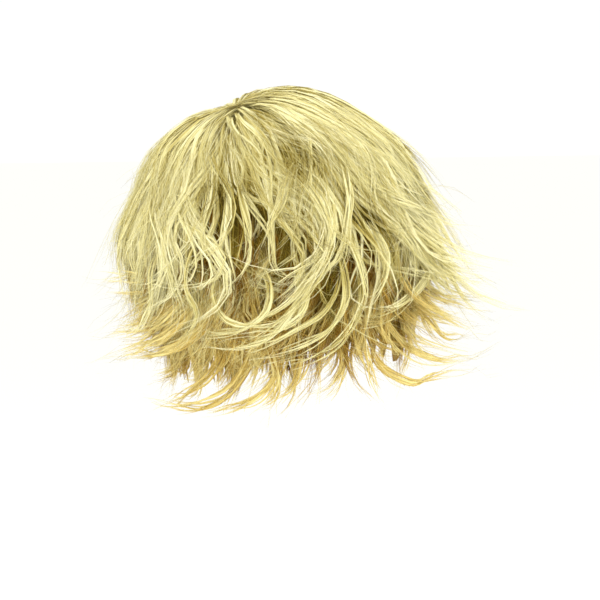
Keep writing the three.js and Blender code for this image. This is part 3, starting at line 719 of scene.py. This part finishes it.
# The locks that show most, each one along its own line in the picture: its layer, tone, half width and half
# depth in millimetres, how far in millimetres it lies off its layer's inner side, and pixels from root to tip
chosen = [
    ("crown", 0.90, 5.5, 2.5, 10, [(230, 108), (192, 142), (161, 180), (138, 220), (130, 258), (136, 294)]),
    ("crown", 0.86, 5.5, 2.5, 10, [(232, 104), (204, 150), (181, 198), (168, 240), (160, 280), (146, 310)]),
    ("crown", 0.95, 4.0, 2.0, 12, [(236, 130), (212, 180), (194, 205), (181, 230), (186, 258), (214, 286)]),
    ("crown", 0.90, 3.5, 2.0, 11, [(222, 140), (202, 172), (196, 201), (206, 224), (220, 242), (230, 264)]),
    ("crown", 0.86, 1.8, 1.6, 12,
     [(236, 150), (240, 185), (246, 210), (252, 234), (252, 256), (240, 280), (208, 300)]),
    ("crown", 0.88, 2.8, 1.8, 12, [(300, 150), (292, 180), (284, 205), (274, 228), (270, 248), (258, 268)]),
    ("crown", 0.90, 3.8, 2.0, 12,
     [(280, 150), (298, 184), (316, 206), (326, 228), (325, 250), (312, 274), (290, 292)]),
    ("crown", 0.92, 3.0, 1.8, 12, [(312, 168), (328, 206), (330, 236), (322, 262), (304, 286), (282, 310)]),
    ("crown", 0.86, 5.0, 2.5, 10, [(218, 114), (184, 154), (162, 202), (158, 240), (150, 274), (130, 306)]),
    ("crown", 0.92, 3.2, 1.8, 11, [(190, 180), (176, 220), (174, 256), (183, 284), (190, 308), (186, 334)]),
    ("crown", 0.92, 5.0, 2.2, 11, [(258, 102), (280, 121), (298, 139), (314, 152), (328, 172), (336, 204)]),
    ("crown", 0.92, 4.0, 2.0, 11, [(300, 104), (340, 134), (362, 160), (368, 180), (368, 208), (386, 248)]),
    ("crown", 0.95, 3.6, 2.0, 12, [(322, 136), (340, 170), (346, 200), (345, 228), (341, 256), (318, 290)]),
    ("crown", 0.90, 3.8, 2.0, 11, [(326, 116), (358, 150), (378, 186), (390, 212), (392, 236), (384, 258)]),
    ("crown", 0.95, 4.0, 2.0, 12, [(340, 114), (376, 152), (400, 182), (417, 206), (424, 228), (412, 258)]),
    ("crown", 0.94, 4.4, 2.2, 11, [(340, 110), (376, 146), (403, 180), (431, 211), (454, 222), (484, 226)]),
    ("crown", 0.90, 4.0, 2.2, 11, [(370, 150), (404, 190), (432, 220), (454, 250), (478, 277), (514, 298)]),
    ("crown", 0.90, 3.8, 2.0, 10, [(396, 180), (426, 230), (446, 268), (466, 300), (490, 320), (520, 312)]),
    ("crown", 0.96, 3.0, 1.8, 13,
     [(424, 210), (430, 244), (424, 272), (408, 294), (384, 308), (364, 310), (340, 302)]),
    ("crown", 0.94, 2.6, 1.6, 12, [(360, 214), (374, 240), (382, 264), (377, 287), (366, 304), (344, 308)]),
    ("crown", 0.92, 2.6, 1.6, 12, [(334, 206), (348, 244), (358, 272), (361, 294), (354, 318), (336, 340)]),
    ("crown", 0.88, 1.9, 1.6, 13, [(330, 216), (328, 250), (316, 278), (294, 308), (262, 336), (214, 350)]),
    ("crown", 0.84, 1.5, 1.4, 12, [(322, 222), (322, 248), (306, 282), (288, 304), (252, 322), (196, 334)]),
    ("crown", 0.86, 1.5, 1.4, 12, [(338, 262), (334, 290), (318, 314), (290, 332), (256, 344), (222, 348)]),
    ("crown", 0.88, 2.0, 1.6, 12, [(330, 240), (341, 272), (343, 300), (328, 326), (294, 346), (250, 358)]),
    ("crown", 0.84, 1.5, 1.4, 12, [(352, 262), (357, 290), (352, 316), (336, 338), (306, 354), (270, 362)]),
    ("crown", 0.86, 1.6, 1.4, 12, [(206, 236), (196, 262), (194, 290), (204, 312), (196, 330), (172, 344)]),
    ("crown", 0.86, 1.8, 1.4, 12, [(170, 246), (160, 272), (160, 300), (152, 320), (140, 330), (122, 336)]),
    ("crown", 0.88, 2.8, 1.8, 11, [(290, 240), (300, 276), (298, 304), (278, 328), (248, 342), (208, 342)]),
    ("crown", 0.84, 1.4, 1.2, 12, [(226, 270), (221, 294), (230, 314), (254, 322), (286, 316), (312, 298)]),
    ("crown", 0.86, 1.6, 1.4, 12, [(260, 262), (272, 284), (270, 306), (252, 322), (222, 330), (190, 330)]),
    ("crown", 0.84, 1.5, 1.4, 12, [(296, 262), (306, 284), (304, 308), (284, 326), (254, 334), (226, 338)]),
    ("middle", 0.88, 3.6, 2.0, 12, [(366, 280), (376, 314), (394, 340), (424, 357), (464, 360), (508, 336)]),
    ("middle", 0.88, 3.0, 1.8, 13, [(396, 262), (410, 296), (430, 322), (456, 336), (484, 338), (510, 326)]),
    ("middle", 0.84, 2.8, 1.6, 12, [(360, 330), (376, 360), (402, 376), (436, 374), (468, 370), (506, 366)]),
    ("middle", 0.90, 4.2, 2.2, 12, [(206, 262), (192, 290), (174, 312), (148, 327), (118, 333), (84, 331)]),
    ("middle", 0.90, 4.4, 2.2, 12, [(214, 280), (198, 306), (180, 324), (154, 340), (124, 352), (84, 366)]),
    ("middle", 0.86, 3.4, 1.8, 12, [(226, 300), (210, 324), (190, 340), (164, 351), (134, 356), (98, 356)]),
    ("nape", 0.78, 3.4, 2.0, 9, [(262, 336), (250, 364), (234, 386), (208, 400), (182, 403), (150, 398)]),
    ("nape", 0.80, 3.0, 1.8, 10, [(232, 330), (224, 356), (212, 374), (194, 388), (176, 398), (152, 408)]),
    ("nape", 0.80, 3.0, 1.8, 10, [(288, 336), (284, 360), (270, 384), (250, 398), (226, 406), (196, 408)]),
    ("nape", 0.82, 2.8, 1.8, 10, [(268, 330), (276, 354), (280, 376), (275, 394), (252, 412)]),
    ("nape", 0.82, 3.0, 1.8, 12, [(322, 310), (335, 337), (341, 361), (331, 382), (300, 396)]),
    ("nape", 0.80, 2.8, 1.8, 11, [(312, 316), (306, 341), (302, 362), (291, 385), (262, 408)]),
    ("middle", 0.84, 3.0, 1.8, 12, [(350, 310), (358, 340), (364, 362), (372, 384), (380, 404)]),
    ("middle", 0.86, 2.8, 1.8, 13, [(392, 300), (402, 328), (404, 352), (396, 374), (388, 398)]),
]
CHOSEN_POINTS = 16
# Wisps for each millimetre of a lock's half width, and its spread: that many of its millimetres to a metre
WISPS_PER_MM, SPREAD_PER_METRE = 3.6, 800


def through_pixels(layer):
    """The chosen locks of one layer, and the smooth lines through their points on its form."""
    below = {"nape": 0, "middle": 1, "crown": 2}[layer]
    mine = [lock for lock in chosen if lock[0] == layer]
    lines, outs = [], []
    for _, _, _, _, lift, pixels in mine:
        lifts = np.interp(np.linspace(0, 1, len(pixels)), [0, 0.3, 1], [lift * 0.3, lift, lift]) / 1000
        found = [under_pixel(x, y, below, off) for (x, y), off in zip(pixels, lifts)]
        spots = np.array([spot for _, _, spot, _ in found])
        ways = np.array([out for _, _, _, out in found])
        gone = np.concatenate([[0], np.cumsum(np.linalg.norm(np.diff(spots, axis=0), axis=1))])
        at = np.linspace(0, gone[-1], STEPS)
        slope = np.gradient(spots, gone, axis=0)
        number = np.clip(np.searchsorted(gone, at, side="right") - 1, 0, len(gone) - 2)
        span = (gone[number + 1] - gone[number])[:, None]
        u = ((at - gone[number])[:, None]) / span
        leaving = (2 * u**3 - 3 * u**2 + 1) * spots[number] + (u**3 - 2 * u**2 + u) * span * slope[number]
        lines.append(leaving + (3 * u**2 - 2 * u**3) * spots[number + 1]
                     + (u**3 - u**2) * span * slope[number + 1])
        outs.append(np.stack([np.interp(at, gone, ways[:, axis]) for axis in range(3)], -1))
    line, out = np.array(lines), unit(np.array(outs))
    way = unit(np.gradient(line, axis=1))
    across = unit(np.cross(out, way))
    tones, halves, depths = (np.array([lock[column] for lock in mine]) for column in (1, 2, 3))
    alike = dict(root_shade=0.25, root_reach=0.5, clump=0.45, loose=0.0042, strip=0.0013, uneven=0.35,
                 low=0.15, open=0.0)
    locks = {key: np.full(len(mine), value) for key, value in alike.items()}
    locks.update(wisps=np.round(halves * WISPS_PER_MM), wide=halves / SPREAD_PER_METRE, deep=depths / 1000,
                 tone=tones - 0.14)
    return locks, (line, np.cross(way, across), across)


locks, combed = through_pixels("crown")
crown_pieces.append(strands("crown_chosen", part(locks, combed, CHOSEN_POINTS), crown_skin))
locks, combed = through_pixels("middle")
middle_chosen = strands("middle_chosen", part(locks, combed, CHOSEN_POINTS), middle_skin)
locks, combed = through_pixels("nape")
nape_chosen = strands("nape_chosen", part(locks, combed, CHOSEN_POINTS), nape_skin)
for piece, node, finish in ((middle_chosen, "middle_hair", "middle_hair"),
                            (nape_chosen, "nape_hair", "under_hair")):
    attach(piece, "root")
    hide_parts(node)
for piece in crown_pieces + [crown_mass]:
    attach(piece, "root")
    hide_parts("crown_hair")

# The fringe: light blond, from the whorl over the forehead to the brows. It is swept to the wearer's right,
# and its outer locks run into the side hair.
fringe_rows = [
    dict(locks=58, turns=(124, 223), root=0.0010, begin=(-0.1, 0.25), hem=(0.086, 0.118), lift=0.3,
         over=0.003, rooted=0.6, front=(0, 1), puff=0.002, lean=11, wave=12, flick=((0, 0), (-15, 30)),
         aside=0, wide=0.007, strip=0.0026, tone=(0.56, 0.12), wisps=10),
    dict(locks=44, turns=(126, 222), root=0.0010, begin=(-0.2, 0.08), hem=(0.080, 0.106), lift=0.6,
         over=0.003, rooted=0.4, front=(0, 1), puff=0.002, lean=11, wave=14, flick=((0, 0), (-15, 30)),
         aside=0, clump=0.65, loose=0.002, wide=0.008, strip=0.0024, tone=(0.75, 0.10), wisps=13,
         root_shade=0.22),
]
fringe_skin = wisp_finish("fringe_wisp", BLOND)
fringe_pieces = []
for number, row in enumerate(fringe_rows, 1):
    locks = weft(row)
    fringe_pieces.append(strands(f"fringe_wisps_{number}", part(locks, comb(locks, 2)), fringe_skin))
fringe_mass = hair_mass("fringe_mass", mass_finish("fringe_mass", "6e5a20", "a08a42", "b3a262"), below=2,
                        lift=0.0015, top=0.0005, foot=0.072, ragged=0.02, turns=(137, 223))
for piece in fringe_pieces + [fringe_mass]:
    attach(piece, "root")
    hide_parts("fringe")

# The setting: a wide pale floor well below the hair, white light from all round, a large soft lamp up on the
# left, and a weaker one on the right, seen from behind the wearer's right shoulder.
bpy.ops.mesh.primitive_plane_add(size=60, location=(0, 0, -0.75))
floor = bpy.context.object
floor.name = "floor"
floor_paint, _, _ = material("floor_paint", Roughness=1.0, Base_Color=colour("fdfdfa"),
                             Specular_IOR_Level=0.0)
floor.data.materials.append(floor_paint)

scene = bpy.context.scene
scene.view_settings.view_transform = "Standard"
scene.cycles.transparent_max_bounces = 32  # a look through the loose webs meets many fine gaps in a row
world = bpy.data.worlds.new("white_room")
world.use_nodes = True
world.node_tree.nodes["Background"].inputs["Color"].default_value = (1.0, 1.0, 0.99, 1)
world.node_tree.nodes["Background"].inputs["Strength"].default_value = 1.02
scene.world = world
MIDDLE_OF_HAIR = -0.1


def lamp(name, right, up, back, size, power, tint):
    """A square lamp placed from the viewer's side of the wig, and turned to the middle of the hair."""
    light = bpy.data.lights.new(name, "AREA")
    light.size, light.energy, light.color = size, power, tint
    holder = bpy.data.objects.new(name, light)
    spot = view_right * right + view_up * up + view_back * back + np.array([0, 0, MIDDLE_OF_HAIR])
    holder.location = spot
    holder.rotation_euler = (Vector(spot) - Vector((0, 0, MIDDLE_OF_HAIR))).to_track_quat("Z", "Y").to_euler()
    bpy.context.collection.objects.link(holder)


lamp("key", right=-1.1, up=1.3, back=1.3, size=1.2, power=20, tint=(1.0, 0.995, 0.96))
lamp("fill", right=1.4, up=0.5, back=0.9, size=1.2, power=12, tint=(1.0, 1.0, 0.97))

LENS, SENSOR, PIXELS = 110, 36, 600
AIM_RIGHT, AIM_HEIGHT = 0.0131, -0.1483
distance = MM_PER_PIXEL * PIXELS * LENS / SENSOR / 1000
camera_data = bpy.data.cameras.new("camera")
camera_data.lens, camera_data.sensor_width = LENS, SENSOR
camera = bpy.data.objects.new("camera", camera_data)
bpy.context.collection.objects.link(camera)
aim = view_right * AIM_RIGHT + np.array([0, 0, AIM_HEIGHT])
camera.location = aim + view_back * distance
camera.rotation_euler = Vector(view_back).to_track_quat("Z", "Y").to_euler()
scene.camera = camera
